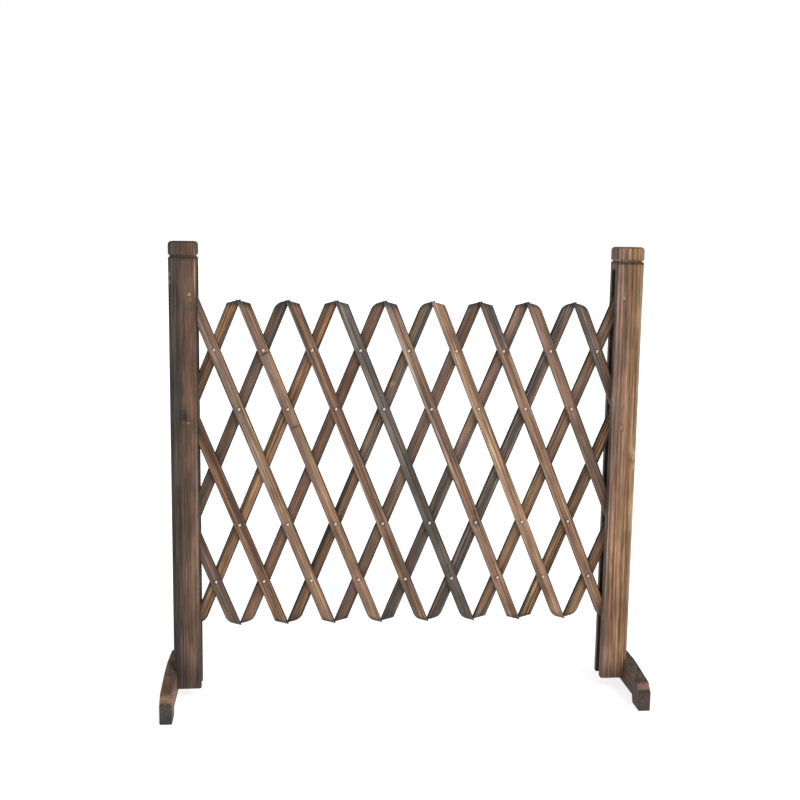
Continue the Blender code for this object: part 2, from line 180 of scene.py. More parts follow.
def pinePatterns(tree, node, look, turn):
    # the piece's own directions in millimetres, and its noise patterns; odd steps of the seed
    # move each piece to a place of its own in them
    centre, half = measure(node, turn)
    local = addNode(tree, "Mapping", {
        "Vector": addNode(tree, "TexCoord").outputs["Object"], "Location": centre,
        "Rotation": turn, "Scale": (mm, mm, mm)}, vector_type="TEXTURE")
    axes = addNode(tree, "SeparateXYZ", {0: local})
    seed = look["seed"]
    fibreSpace = addNode(tree, "VectorMath", {
        0: local, 1: (1, 1, pineFigure["fibreStretch"]),
        2: (seed * 37.7, seed * 11.3, seed * 5.1)}, operation="MULTIPLY_ADD")
    lineSpace = addNode(tree, "Mapping", {
        "Vector": local, "Location": (seed * 13.1, 0, seed),
        "Rotation": (0, radians(look["slant"]), 0),
        "Scale": (1, 1, pineFigure["lineStretch"])})
    blotchSpace = addNode(tree, "VectorMath", {
        0: local, 1: (1, 1, pineFigure["blotchStretch"]), 2: (seed * 7.9, 3.0, seed * 23.1)},
        operation="MULTIPLY_ADD")
    wood = {"local": local, "across": axes.outputs["X"], "through": axes.outputs["Y"],
            "along": axes.outputs["Z"], "halfWidth": half[0], "halfLength": half[2]}
    for name, space, own in (
            ("wander", fibreSpace, {}), ("bands", fibreSpace, {"Scale": look["bands"]}),
            ("fibre", fibreSpace, {}), ("lines", lineSpace, {"Scale": 1 / look["spacing"]}),
            ("blotch", blotchSpace, {}), ("ragged", local, {})):
        wood[name] = addNode(tree, "TexNoise", {"Vector": space, **pineFigure[name], **own})
    return wood


def pineSpots(tree, wood, look):
    # knots, stains and streaks, and a few marks of painted light and shade, each (across,
    # along, half width, half length, tone, strength) in millimetres from the middle of the
    # piece; gives each one's tone, mask and reach
    edge = addNode(tree, "Math", {0: wood["fibre"], 1: pineFigure["spotFibre"],
                                  2: pineFigure["spotShift"]}, operation="MULTIPLY_ADD")
    edge = addNode(tree, "Math", {0: wood["ragged"], 1: pineFigure["spotRagged"], 2: edge},
                   operation="MULTIPLY_ADD")
    fadeOut, fadeIn = pineFigure["spotFade"]
    spots = []
    for u, w, wide, long, word, strength in look["spots"]:
        near = addNode(tree, "VectorMath", {
            0: wood["local"], 1: (1 / wide, 0, 1 / long), 2: (-u / wide, 0, -w / long)},
            operation="MULTIPLY_ADD")
        reach = addNode(tree, "VectorMath", {0: near}, operation="LENGTH").outputs["Value"]
        frayed = addNode(tree, "Math", {0: reach, 1: edge}, operation="ADD")
        mask = addNode(tree, "MapRange", {
            "Value": frayed, "From Min": fadeOut, "From Max": fadeIn, "To Max": strength},
            interpolation_type="SMOOTHSTEP")
        spots.append((tone(word), mask, reach))
    return spots


def lateWood(tree, wood, look, spots):
    # growth rings round a pith beside the piece, cut along their length; gives the share of
    # dark late wood
    pith = addNode(tree, "Mapping", {
        "Vector": wood["local"], "Location": look["pith"],
        "Rotation": (radians(pineFigure["pithLean"]), radians(look["tilt"]), 0),
        "Scale": (1, 1, pineFigure["ringStretch"])})
    inputs = {"Vector": pith, "Scale": pineFigure["ringTurn"] / look["rings"],
              **pineFigure["rings"]}
    if look.get("knot"):      # the rings bend round the first spot where it is a knot
        inputs["Phase Offset"] = addNode(tree, "MapRange", {
            "Value": spots[0][2], "From Max": pineFigure["knotReach"],
            "To Min": look["knot"], "To Max": 0.0}, interpolation_type="SMOOTHSTEP")
    rings = addNode(tree, "TexWave", inputs, wave_type="RINGS", rings_direction="Z",
                    wave_profile="SAW")
    late = addNode(tree, "ValToRGB", {0: rings}, stops=[
        (place, (dark, dark, dark, 1.0)) for place, dark in pineFigure["ringDark"]])
    low, high = pineFigure["bandSpan"]
    share = addNode(tree, "MapRange", {
        "Value": wood["bands"], "From Min": low, "From Max": high,
        "To Min": pineFigure["leastLate"], "To Max": look["grain"]})
    return addNode(tree, "Math", {0: late, 1: share}, operation="MULTIPLY")


def widthTones(tree, wood, look):
    # tones over the width, torn along the fibres; height runs from the lower end to the
    # upper, and clouds blur the change from the lower half's tones to the upper's
    sway, tear = pineFigure["sway"], pineFigure["tear"]
    width = addNode(tree, "Math", {0: wood["across"], 1: 0.5 / wood["halfWidth"],
                                   2: 0.5 - (sway + tear) / 2}, operation="MULTIPLY_ADD")
    swayed = addNode(tree, "Math", {0: wood["wander"], 1: sway, 2: width},
                     operation="MULTIPLY_ADD")
    torn = addNode(tree, "Math", {0: wood["bands"], 1: tear, 2: swayed},
                   operation="MULTIPLY_ADD")
    upper = addNode(tree, "ValToRGB", {0: torn}, stops=toneStops(look["upper"]))
    lower = addNode(tree, "ValToRGB", {0: torn}, stops=toneStops(look["lower"]))
    height = addNode(tree, "Math", {0: wood["along"], 1: 0.5 / wood["halfLength"], 2: 0.25},
                     operation="MULTIPLY_ADD")
    cloudy = addNode(tree, "Math", {0: wood["blotch"], 1: 0.5, 2: height},
                     operation="MULTIPLY_ADD")
    low, high = pineFigure["halfSpan"]
    share = addNode(tree, "MapRange", {"Value": cloudy, "From Min": low, "From Max": high},
                    interpolation_type="SMOOTHSTEP")
    return addNode(tree, "Mix", {0: share, 6: lower, 7: upper}, data_type="RGBA")


def knotRings(tree, wood, mask, reach):
    # nested dark rings in the knot itself
    bent = addNode(tree, "Math", {0: wood["ragged"], 1: pineFigure["knotRagged"]},
                   operation="MULTIPLY")
    bent = addNode(tree, "Math", {0: reach, 1: pineFigure["knotTurns"], 2: bent},
                   operation="MULTIPLY_ADD")
    wave = addNode(tree, "Math", {0: bent}, operation="SINE")
    low, high = pineFigure["knotSpan"]
    dark = addNode(tree, "MapRange", {"Value": wave, "From Min": low, "From Max": high,
                                      "To Max": pineFigure["knotDark"]})
    return addNode(tree, "Math", {0: dark, 1: mask}, operation="MULTIPLY"), tone("soot")


def upwardFaceTone(tree, word, strength):
    # upward faces turned to another tone, more the more they look up
    facing = addNode(tree, "SeparateXYZ", {0: addNode(tree, "TexCoord").outputs["Normal"]})
    upwards = addNode(tree, "MapRange", {
        "Value": facing.outputs["Z"], "From Min": upwardFaceSpan[0], "From Max": upwardFaceSpan[1],
        "To Max": strength})
    return upwards, tone(word)


def burntAndShadedArrises(tree, wood, look):
    # burnt arrises and narrow faces, left and right; their darkness is partly char and partly
    # painted shade, and the left and right tones differ as painted light and shade
    fray = addNode(tree, "Math", {0: wood["fibre"], 1: pineFigure["arrisFray"],
                                  2: -pineFigure["arrisFray"] / 2}, operation="MULTIPLY_ADD")
    out = addNode(tree, "Math", {0: wood["across"]}, operation="ABSOLUTE")
    inside = addNode(tree, "Math", {0: wood["halfWidth"], 1: out}, operation="SUBTRACT")
    inside = addNode(tree, "Math", {0: inside, 1: fray}, operation="ADD")
    mask = addNode(tree, "MapRange", {
        "Value": inside, "From Min": look["arris"], "From Max": pineFigure["arrisEnd"],
        "To Max": look["arrisBurnAndShade"]}, interpolation_type="SMOOTHSTEP")
    left, right = (tone(word) for word in look["edges"].split())
    side = addNode(tree, "Math", {0: wood["across"], 1: 0.0}, operation="GREATER_THAN")
    return mask, addNode(tree, "Mix", {0: side, 6: left, 7: right}, data_type="RGBA")


def darkenedEnds(tree, wood, look):
    # both ends darkened to their depth, along the saw cut: the slats' tips are scorched; a
    # post's foot is only darker towards the bottom
    cut = look["cut"]
    sheared = addNode(tree, "Math", {0: wood["across"], 1: cut, 2: wood["along"]},
                      operation="MULTIPLY_ADD")
    fray = addNode(tree, "Math", {0: wood["fibre"], 1: pineFigure["endFray"],
                                  2: -pineFigure["endFray"] / 2}, operation="MULTIPLY_ADD")
    tip = wood["halfLength"] - abs(cut) * wood["halfWidth"]
    ends = []
    for sign, word, depth in ((1, *look["top"]), (-1, *look["foot"])):
        reach = addNode(tree, "Math", {0: sheared, 1: -sign, 2: tip},
                        operation="MULTIPLY_ADD")
        reach = addNode(tree, "Math", {0: reach, 1: fray}, operation="ADD")
        mask = addNode(tree, "MapRange", {
            "Value": reach, "From Min": depth, "From Max": 0.0,
            "To Max": pineFigure["endDark"]}, interpolation_type="SMOOTHSTEP")
        ends.append((mask, tone(word)))
    return ends


def slotCharAndPaintedShade(tree, wood, side):
    # the routed slot of a post is painted near black: char from the fire, and painted shade
    # in the recess
    out = addNode(tree, "Math", {0: wood["through"]}, operation="ABSOLUTE")
    slotDarkness = addNode(tree, "MapRange", {"Value": out, "From Min": slotCharAndShadeReach["none"],
                                       "From Max": slotCharAndShadeReach["full"]})
    inner = addNode(tree, "Math", {0: wood["across"], 1: side, 2: slotCharAndShadeReach["floor"]},
                    operation="MULTIPLY_ADD")
    deep = addNode(tree, "Math", {0: inner, 1: 0.0}, operation="GREATER_THAN")
    below = addNode(tree, "Math", {0: wood["along"],
                                   1: wood["halfLength"] - slotCharAndShadeReach["below"]},
                    operation="LESS_THAN")
    for limit in (deep, below, slotCharAndShadeReach["dark"]):
        slotDarkness = addNode(tree, "Math", {0: slotDarkness, 1: limit}, operation="MULTIPLY")
    return slotDarkness, tone("soot")


def scorchedPine(node, look, turn):
    # Scorched and brushed pine: burnt dark, then wire brushed, so the soft early wood is
    # worn back between hard dark late wood lines. Satin, rough across the grain.
    material, tree, shader = newMaterial("scorchedBrushedPine." + node)
    wood = pinePatterns(tree, node, look, turn)
    spots = pineSpots(tree, wood, look)
    late = lateWood(tree, wood, look, spots)

    colour = widthTones(tree, wood, look)
    coats = [(mask, spotTone) for spotTone, mask, reach in spots]
    if look.get("knot"):
        coats.append(knotRings(tree, wood, *spots[0][1:]))
    if look.get("topFace"):
        coats.append(upwardFaceTone(tree, *look["topFace"]))
    coats.append(burntAndShadedArrises(tree, wood, look))
    coats += darkenedEnds(tree, wood, look)
    if look.get("slotSide"):
        coats.append(slotCharAndPaintedShade(tree, wood, look["slotSide"]))
    for mask, coat in coats:
        colour = addNode(tree, "Mix", {0: mask, 6: colour, 7: coat}, data_type="RGBA")

    # clouds, brushed lines and fibres lighten and darken the tone, late wood darkens it;
    # each is (pattern, darkest and lightest at, depth)
    for name, (low, high), depth in (
            ("blotch", (noiseLow, noiseHigh), pineFigure["clouds"]),
            ("lines", pineFigure["lineSpan"], look["lines"]),
            ("fibre", (noiseLow, noiseHigh), pineFigure["fibres"])):
        veil = addNode(tree, "MapRange", {
            "Value": wood[name], "From Min": low, "From Max": high,
            "To Min": 0.5 - depth, "To Max": 0.5 + depth}, interpolation_type="SMOOTHSTEP")
        colour = addNode(tree, "Mix", {0: 1.0, 6: colour, 7: veil}, data_type="RGBA",
                         blend_type="OVERLAY")
    colour = addNode(tree, "Mix", {0: late, 6: colour, 7: linearColour(lateVeil)},
                     data_type="RGBA", blend_type="MULTIPLY")

    dull, satin = pineFigure["roughness"]
    rough = addNode(tree, "MapRange", {
        "Value": wood["fibre"], "From Min": noiseLow, "From Max": noiseHigh,
        "To Min": dull, "To Max": satin})
    relief = addNode(tree, "Math", {0: late, 1: pineFigure["lateRelief"],
                                    2: wood["fibre"]}, operation="MULTIPLY_ADD")
    relief = addNode(tree, "Math", {0: wood["lines"], 1: pineFigure["lineRelief"],
                                    2: relief}, operation="MULTIPLY_ADD")
    bump = addNode(tree, "Bump", {"Height": relief, **pineFigure["bump"]})
    setInputs(tree, shader, {"Base Color": colour, "Roughness": rough, "Normal": bump,
                             "Specular IOR Level": pineFigure["shine"]})
    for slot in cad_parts[node].material_slots:
        slot.material = material
    return material


# where the rivets go: rows 1, 2, 4 and 5 of the crossings, counted down from the top, and
# half columns, counted from the first rivet of row 1; rows 2 and 4 reach half a column
# further at both ends, into the posts' slots
rivetRows = {"first": 1, "last": 5, "lastColumn": 16, "starts": {1: 0, 2: -1, 4: -1, 5: 0}}

start, end = middle("rivet_row1_01"), middle("rivet_row5_09")
halfColumn = (end.x - start.x) / rivetRows["lastColumn"]
rowPitch = (start.z - end.z) / (rivetRows["last"] - rivetRows["first"])
rivetPlaces = {}         # (row, column) to place and front slat number
for row, first in rivetRows["starts"].items():
    for column in range(first, rivetRows["lastColumn"] - first + 1, 2):
        spot = Vector((start.x + column * halfColumn, 0,
                       start.z - (row - rivetRows["first"]) * rowPitch))
        # a front slat leans left at the top, so it meets each row one half column further on
        rivetPlaces[row, column] = (spot, (column - row + 7) // 2)


# round each rivet a dark ring, partly a stain and partly painted contact shadow of the head
rivetStainAndShadow = (4.6, 4.6, "char", 0.5)      # half width, half length, tone, strength


def rivetStainsAndShadows(number, node, turn):
    # a faint dark ring round each rivet of a front slat: partly a stain, partly painted
    # contact shadow of the head
    centre, half = measure(node, turn)
    stainAndShadowRings = []
    for spot, slatNumber in rivetPlaces.values():
        if slatNumber == number:
            local = Euler(turn).to_matrix().transposed() @ (spot - centre) / mm
            stainAndShadowRings.append((local.x, local.z, *rivetStainAndShadow))
    return tuple(stainAndShadowRings)


# slats of both layers, left to right. upper and lower: tones from left to right over the
# width; edges: tones of the left and right arris, partly painted light and shade; top and
# foot: tone and depth of the darkened ends; bands, spacing: scale of the tone bands and the
# brushed lines; grain, lines and the arrises' strength: of the late wood, the lines and the
# arrises, burnt and partly painted shade; arris: their width; slant, tilt: degrees of the
# lines and the rings off the slat; knot: how the rings bend round the first spot

slatGrain = {"bands": 0.3, "grain": 0.6, "arris": 1.9, "arrisBurnAndShade": 0.9, "lines": 0.15,
             "spacing": 2.6, "slant": 0.6, "tilt": 5, "top": ("coal", 12.0),
             "foot": ("coal", 9.0), "spots": ()}

frontSlats = {
    1: {"upper": "dusk mauve umber", "lower": "dusk dusk umber", "edges": "umber char",
        "foot": ("graphite", 12.0), "lines": 0.08, "grain": 0.35},
    2: {"upper": "bark copper umber bark", "lower": "copper bark umber copper",
        "edges": "char soot", "lines": 0.2},
    3: {"upper": "mauve ash rosewood tan", "lower": "mauve rosewood tan rosewood",
        "edges": "dusk char", "top": ("dusk", 7.0),
        "lines": 0.16, "spacing": 2.0},
    4: {"upper": "mauve mauve tan rosewood", "lower": "mauve rosewood tan rosewood",
        "edges": "mauve soot", "top": ("char", 17.0), "lines": 0.1, "spacing": 1.8,
        "spots": ((0, 189, 8, 2.2, "char", 0.75), (0, 66, 8, 2.4, "char", 0.6))},
    5: {"upper": "mauve bark rosewood bark", "lower": "rosewood bark bark mauve",
        "edges": "mauve soot", "lines": 0.2, "spacing": 2.4},
    6: {"upper": "slate ash slate slate", "lower": "slate slate dusk graphite",
        "edges": "graphite char", "top": ("graphite", 12.0), "foot": ("graphite", 14.0),
        "lines": 0.1, "spots": ((1, 0, 1.1, 300, "char", 0.7),)},
    7: {"upper": "ash mauve rosewood mauve", "lower": "mauve rosewood rosewood bark",
        "edges": "ash soot", "tilt": 9, "slant": 1.6, "lines": 0.22, "top": ("coal", 17.0),
        "spots": ((0, -102, 6, 9, "umber", 0.8), (3, -86, 3, 5, "char", 0.6)), "knot": 3.0},
    8: {"upper": "tan sand tan rosewood", "lower": "tan rosewood tan tan",
        "edges": "ash char", "top": ("rosewood", 6.0), "foot": ("umber", 16.0), "lines": 0.2,
        "spacing": 2.4},
    9: {"upper": "mauve tan rosewood mauve", "lower": "rosewood bark tan rosewood",
        "edges": "umber soot", "foot": ("graphite", 10.0), "slant": 1.4, "lines": 0.13,
        "spots": ((3.5, 245, 8, 52, "graphite", 0.9), (5, 192, 3.5, 7, "char", 0.75))},
    # the darker lower tones paint the right post's shadow over the slat's lower half
    10: {"upper": "mauve rosewood mauve bark", "lower": "bark dusk umber",
         "edges": "dusk char", "lines": 0.1},
    # the darker lower tones paint the right post's shadow over the slat's lower half
    11: {"upper": "slate mauve dusk", "lower": "umber dusk umber", "edges": "slate char",
         "lines": 0.16},
}
backSlats = {
    1: {"upper": "copper gold copper umber", "lower": "copper bark copper umber",
        "edges": "soot char", "top": ("char", 15.0), "lines": 0.28, "spacing": 2.2},
    2: {"upper": "moss umber dusk graphite", "lower": "moss umber umber dusk",
        "edges": "soot soot", "top": ("coal", 26.0), "lines": 0.1},
    3: {"upper": "umber gold copper bark", "lower": "bark gold copper bark",
        "edges": "soot char", "foot": ("char", 14.0), "lines": 0.24, "spacing": 2.2,
        "spots": ((-6, 240, 4, 40, "umber", 0.8),)},
    4: {"upper": "umber redwood bark umber", "lower": "umber redwood bark umber",
        "edges": "char char", "lines": 0.06},
    5: {"upper": "olive bark slate slate", "lower": "char umber copper umber",
        "edges": "soot soot", "foot": ("char", 18.0), "slant": 1.8, "lines": 0.24,
        "spots": ((-2, 137, 3.5, 5, "sand", 0.8), (2, 129, 3, 4, "rust", 0.8),
                  (-7, 222, 2, 5, "sand", 0.6)), "knot": 2.5},
    6: {"upper": "mauve dusk redwood dusk", "lower": "umber dusk bark umber",
        "edges": "soot soot", "lines": 0.12,
        "spots": ((2, 232, 4, 30, "redwood", 0.6),)},
    7: {"upper": "mauve rosewood mauve dusk", "lower": "slate umber graphite dusk",
        "edges": "soot char", "foot": ("graphite", 24.0), "lines": 0.14},
    8: {"upper": "dusk slate mauve dusk", "lower": "dusk dusk slate dusk",
        "edges": "soot soot", "lines": 0.24,
        "spots": ((-3, 0, 1.1, 270, "char", 0.85), (3.6, 20, 1.0, 270, "char", 0.75))},
    9: {"upper": "bark bark dusk", "lower": "olive gold bark umber",
        "edges": "soot soot", "foot": ("graphite", 12.0), "lines": 0.16},
    10: {"upper": "bark copper olive", "lower": "olive gold copper olive",
         "edges": "soot char", "lines": 0.3, "spacing": 2.4},
    11: {"upper": "bark copper bark", "lower": "bark gold bark", "edges": "soot char",
         "lines": 0.07, "grain": 0.4},
}

backSeeds = 20       # keeps the seeds of the back layer clear of the front's
for layer, looks, lean in (("front", frontSlats, -1), ("back", backSlats, 1)):
    for number, look in looks.items():
        seed = number + backSeeds * (layer == "back")
        node, turn = f"{layer}_slat_{number:02d}", (0, lean * slatLean, 0)
        # rings 3.2 to 4.8 mm apart, the pith 8 to 30 mm beside and 9 to 23 mm behind the slat
        filled = {"seed": seed, "rings": 3.2 + seed * 0.7 % 1.6,
                  "pith": (8 + seed * 7.3 % 22, 9 + seed * 5.7 % 14, 0),
                  "cut": -lean * tipCut, **slatGrain, **look}
        if layer == "front":
            filled["spots"] += rivetStainsAndShadows(number, node, turn)
        scorchedPine(node, filled, turn)
print("stage: slats scorched and brushed")


# posts and feet

groove = (0, 324.8, 400, 2.6, "char", 0.8)      # the ring groove under a post's cap

posts = {
    "left_post": {
        "seed": 51, "rings": 3.2, "bands": 0.16, "grain": 0.6, "arris": 1.6, "arrisBurnAndShade": 0.75,
        "pith": (26, 40, 0), "edges": "soot char", "cut": 0.0, "slotSide": 1,
        "lines": 0.1, "spacing": 1.7, "slant": 0.2, "tilt": 3, "knot": 4.0,
        # foot: darker towards the bottom, over the lowest 60 mm
        "top": ("char", 3.5), "foot": ("cocoa", 60.0),
        "upper": "char pitch cocoa umber umber redwood umber",
        "lower": "char char cocoa umber umber bark umber",
        "spots": ((-0.5, 85, 8, 10, "char", 0.65), (0.5, 76, 4.5, 2.6, "rust", 0.8),
                  (6.4, 75.4, 1.4, 1.6, "sand", 0.95), (-7.7, 150, 1.3, 260, "char", 0.7),
                  (18.3, 296, 1.6, 34, "sand", 0.75), (17.6, -80, 1.5, 190, "ash", 0.6),
                  (9, 250, 9, 5, "graphite", 0.7), (12, 263, 3, 3, "mauve", 0.8),
                  (-19, 301, 1.4, 3.4, "ash", 0.7), (-19.5, 289, 1.4, 3.4, "ash", 0.7),
                  groove),
    },
    "right_post": {
        "seed": 64, "rings": 5.4, "bands": 0.16, "grain": 0.85, "arris": 1.4, "arrisBurnAndShade": 0.7,
        "pith": (-22, 36, 0), "edges": "umber copper", "cut": 0.0, "slotSide": -1,
        "lines": 0.16, "spacing": 3.0, "slant": -0.5, "tilt": 4, "knot": 3.0,
        # foot: darker towards the bottom, over the lowest 38 mm
        "top": ("umber", 3.0), "foot": ("umber", 38.0),
        "upper": "mauve rosewood bark tan copper gold tan",
        "lower": "mauve rosewood copper tan copper gold tan",
        "spots": ((16, 14, 4, 8, "umber", 0.6), (-3.4, 62, 4, 12, "umber", 0.55),
                  (8.3, 230, 2.2, 130, "gold", 0.75), (19.8, 40, 1.5, 330, "sand", 0.85),
                  (-9.3, 268, 3, 1.6, "umber", 0.7), (6, 344, 3, 6, "copper", 0.9),
                  (-4.5, 66, 1.1, 3.0, "sand", 0.8), (-2.0, 57, 1.0, 2.4, "sand", 0.7),
                  (16.6, 17, 1.0, 3.5, "sand", 0.7), (12.5, 118, 1.0, 6.0, "sand", 0.6),
                  (14.0, 182, 0.9, 7.0, "sand", 0.6), (-8.0, 277, 1.0, 4.5, "sand", 0.8),
                  (-19.6, 60, 1.4, 330, "ash", 0.6), groove),
    },
}
postPine = {node: scorchedPine(node, look, (0, 0, 0)) for node, look in posts.items()}

# a foot lies along the fence's depth: across is up, along runs from front to back
footTurn = Matrix(((0, 1, 0), (0, 0, 1), (1, 0, 0))).to_euler()
footGrain = {"bands": 0.2, "grain": 0.6, "rings": 5.0, "arris": 2.2, "arrisBurnAndShade": 0.8, "cut": 0.0,
             "lines": 0.14, "spacing": 2.6, "slant": 0.0, "tilt": 5}
feet = {
    "left_foot": {
        "seed": 73, "pith": (30, 22, 0), "edges": "umber bark", "arrisBurnAndShade": 0.6,
        "grain": 0.3, "lines": 0.08,
        "top": ("char", 5.0), "foot": ("coal", 3.5), "topFace": ("bark", 0.6),
        "upper": "umber bark rosewood", "lower": "umber bark rosewood bark",
        # the graphite spot darkens the top face beside the post; the tan spot lightens the
        # sawn facet: paler end grain, partly painted light where the facet faces the lamp
        "spots": ((24, -24, 8, 8, "graphite", 0.8), (12, -98, 6, 6, "tan", 0.9),
                  (19, -90, 4, 2.0, "sand", 0.8)),
    },
    "right_foot": {
        "seed": 87, "pith": (30, -22, 0), "edges": "umber slate",
        "top": ("char", 5.0), "foot": ("cocoa", 3.5), "grain": 0.3, "lines": 0.07,
        "topFace": ("slate", 0.8),
        "upper": "cocoa umber umber", "lower": "cocoa cocoa umber",
        # the shell spot lightens the sawn facet: paler end grain, partly painted light where
        # the facet faces the lamp
        "spots": ((21, -72, 4, 11, "rosewood", 0.7), (20, -86, 5, 4, "char", 0.6),
                  (12, -98, 7, 6.5, "shell", 0.9)),
    },
}
for node, look in feet.items():
    scorchedPine(node, {**footGrain, **look}, footTurn)
print("stage: posts and feet finished")


# zinc plated steel of the rivets, pins and screws

zincFigure = {"specks": {"Scale": 1500.0, "Detail": 3.0},      # 0.7 mm, drawn coarse to show
              "tarnish": {"Scale": 260.0, "Detail": 2.0},      # 4 mm
              "tarnishTone": "8d8074", "tarnishSpan": (0.4, 0.7), "tarnishDepth": 0.45,
              "bump": {"Strength": 0.15, "Distance": 0.03 * mm}}


def zincSteel(name, look):
    # Zinc plated mild steel: cold headed, tumbled, bright with fine dull specks
    material, tree, shader = newMaterial(name)
    place = addNode(tree, "TexCoord").outputs["Object"]
    specks = addNode(tree, "TexNoise", {"Vector": place, **zincFigure["specks"]})
    tarnish = addNode(tree, "TexNoise", {"Vector": place, **zincFigure["tarnish"]})
    low, high = zincFigure["tarnishSpan"]
    dull = addNode(tree, "MapRange", {"Value": tarnish, "From Min": low, "From Max": high,
                                      "To Max": zincFigure["tarnishDepth"]})
    colour = addNode(tree, "Mix", {0: dull, 6: linearColour(look["tone"]),
                                   7: linearColour(zincFigure["tarnishTone"])},
                     data_type="RGBA")
    smoothest, roughest = look["roughness"]
    rough = addNode(tree, "MapRange", {
        "Value": specks, "From Min": noiseLow, "From Max": noiseHigh,
        "To Min": smoothest, "To Max": roughest})
    bump = addNode(tree, "Bump", {"Height": specks, **zincFigure["bump"]})
    setInputs(tree, shader, {"Base Color": colour, "Roughness": rough, "Normal": bump,
                             "Metallic": 1.0})
    return material


def selectEnd(mesh, axis, sign, place):
    # in edit mode: selects just the faces that look along the axis and lie at the place
    shape = bmesh.from_edit_mesh(mesh)
    for part in (shape.verts, shape.edges, shape.faces):
        for item in part:
            item.select = False
    for face in shape.faces:
        centre = face.calc_center_median()
        if face.normal[axis] * sign > squarely and abs(centre[axis] - place) < flush:
            face.select_set(True)
    bmesh.update_edit_mesh(mesh)


def growFace(step, scale, centre=(0, 0, 0)):
    # pushes the selected end face out by step and widens or narrows it about centre
    bpy.ops.mesh.extrude_region_move(TRANSFORM_OT_translate={"value": step})
    bpy.ops.transform.resize(value=scale, center_override=centre)


# post tops: the last millimetre of the solid's rim rounding folds over itself at the four
# corners, so each post is a merged copy of its node, cut below that and closed again with
# rings of the same widths and heights; each ring is (rise, scale), and the last one lies in
# the flat top, where it holds the shading

postTop = {"merge": 0.002, "below": 1.1, "rings": ((0.68, 0.945), (0.42, 0.881), (0, 0.94))}

for node, material in postPine.items():
    low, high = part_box(node)
    middleOfTop = ((low[0] + high[0]) / 2, (low[1] + high[1]) / 2, high[2])
    cutHeight = high[2] - postTop["below"] * mm
    deselectAll()
    piece = bpy.data.objects.new(node + "_rounded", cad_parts[node].data.copy())
    piece.data.name = piece.name
    piece.data.materials.clear()
    piece.data.materials.append(material)
    bpy.context.collection.objects.link(piece)
    piece.select_set(True)
    bpy.context.view_layer.objects.active = piece
    bpy.ops.mesh.customdata_custom_splitnormals_clear()
    bpy.ops.object.mode_set(mode="EDIT")
    bpy.ops.mesh.select_all(action="SELECT")
    bpy.ops.mesh.remove_doubles(threshold=postTop["merge"] * mm)
    bpy.ops.mesh.bisect(plane_co=(0, 0, cutHeight), plane_no=(0, 0, 1), use_fill=True,
                        clear_outer=True)
    selectEnd(piece.data, 2, 1, cutHeight)
    for rise, scale in postTop["rings"]:
        growFace((0, 0, rise * mm), (scale, scale, 1), middleOfTop)
    bpy.ops.object.mode_set(mode="OBJECT")
    bpy.ops.object.shade_smooth_by_angle(angle=smoothBelow)
    flatter = piece.modifiers.new("flatFacesStayFlat", "WEIGHTED_NORMAL")
    flatter.keep_sharp = True
    bpy.ops.object.modifier_apply(modifier=flatter.name)
    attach(piece, node)
    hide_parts(node)
print("stage: post tops closed")


def turnedShank(name, size, front, rear, headSteps, tailSteps):
    # a round shank from front to rear, in millimetres along the depth, with its head grown
    # forwards and its tail backwards; each step is (distance, scale)
    deselectAll()
    bpy.ops.mesh.primitive_cylinder_add(
        vertices=size["sides"], radius=size["shank"] * mm, depth=(rear - front) * mm,
        location=(0, (front + rear) / 2 * mm, 0), rotation=(radians(90), 0, 0))
    piece = bpy.context.object
    piece.name = piece.data.name = name
    applyPlace(piece)
    bpy.ops.object.mode_set(mode="EDIT")
    for sign, edge, steps in ((-1, front, headSteps), (1, rear, tailSteps)):
        selectEnd(piece.data, 1, sign, edge * mm)
        for rise, scale in steps:
            growFace((0, sign * rise * mm, 0), (scale, 1, scale))
    bpy.ops.object.mode_set(mode="OBJECT")
    bpy.ops.object.shade_smooth_by_angle(angle=smoothBelow)
    return piece


def copyTo(master, name, place, material):
    # a copy with a mesh of its own, moved to a place or by a matrix
    piece = master.copy()
    piece.data = master.data.copy()
    piece.data.transform(place if isinstance(place, Matrix) else Matrix.Translation(place))
    piece.name = piece.data.name = name
    piece.data.materials.clear()
    piece.data.materials.append(material)
    bpy.context.collection.objects.link(piece)
    return piece


# rivets: a domed head at the front, a rolled tail with its hollow at the back

rivet = {"tone": "d8c6b8", "roughness": (0.35, 0.5), "sides": 24, "shank": 1.5,
         "face": 6.65,                   # from the middle between the layers to their faces
         "head": 2.4, "dome": ((0.45, 1), (0.28, 0.9), (0.24, 0.84), (0.16, 0.74),
                               (0.08, 0.5)),
         "tail": 2.4, "roll": ((0.45, 1), (0.35, 0.94), (0.3, 0.85), (0.05, 0.8),
                               (-0.1, 0.8), (-0.1, 0.9))}

brightZinc = zincSteel("zincPlatedRivetSteel", rivet)
rivetMaster = turnedShank(
    "rivetMaster", rivet, -rivet["face"], rivet["face"],
    ((0, rivet["head"] / rivet["shank"]), *rivet["dome"]),
    ((0, rivet["tail"] / rivet["shank"]), *rivet["roll"]))
for (row, column), (spot, slatNumber) in rivetPlaces.items():
    number = (column + 1) // 2 + 1
    piece = copyTo(rivetMaster, f"domed_rivet_row{row}_{number:02d}", spot, brightZinc)
    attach(piece, f"front_slat_{slatNumber:02d}")
    node = f"rivet_row{row}_{column // 2 + 1:02d}"
    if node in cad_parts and 0 <= column <= rivetRows["lastColumn"]:
        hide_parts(node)
bpy.data.objects.remove(rivetMaster)
print("stage:", len(rivetPlaces), "rivets set")


# pivot pins of the posts: a low domed head on the post's front face and a chamfered end

pin = {"tone": "a09182", "roughness": (0.38, 0.55), "sides": 32, "shank": 1.8,
       "seat": -21.0, "end": 17.0, "chamfer": (0.5, 0.75),
       "head": 2.9, "dome": ((0.35, 1), (0.25, 0.92), (0.2, 0.82), (0.12, 0.66),
                             (0.06, 0.4))}

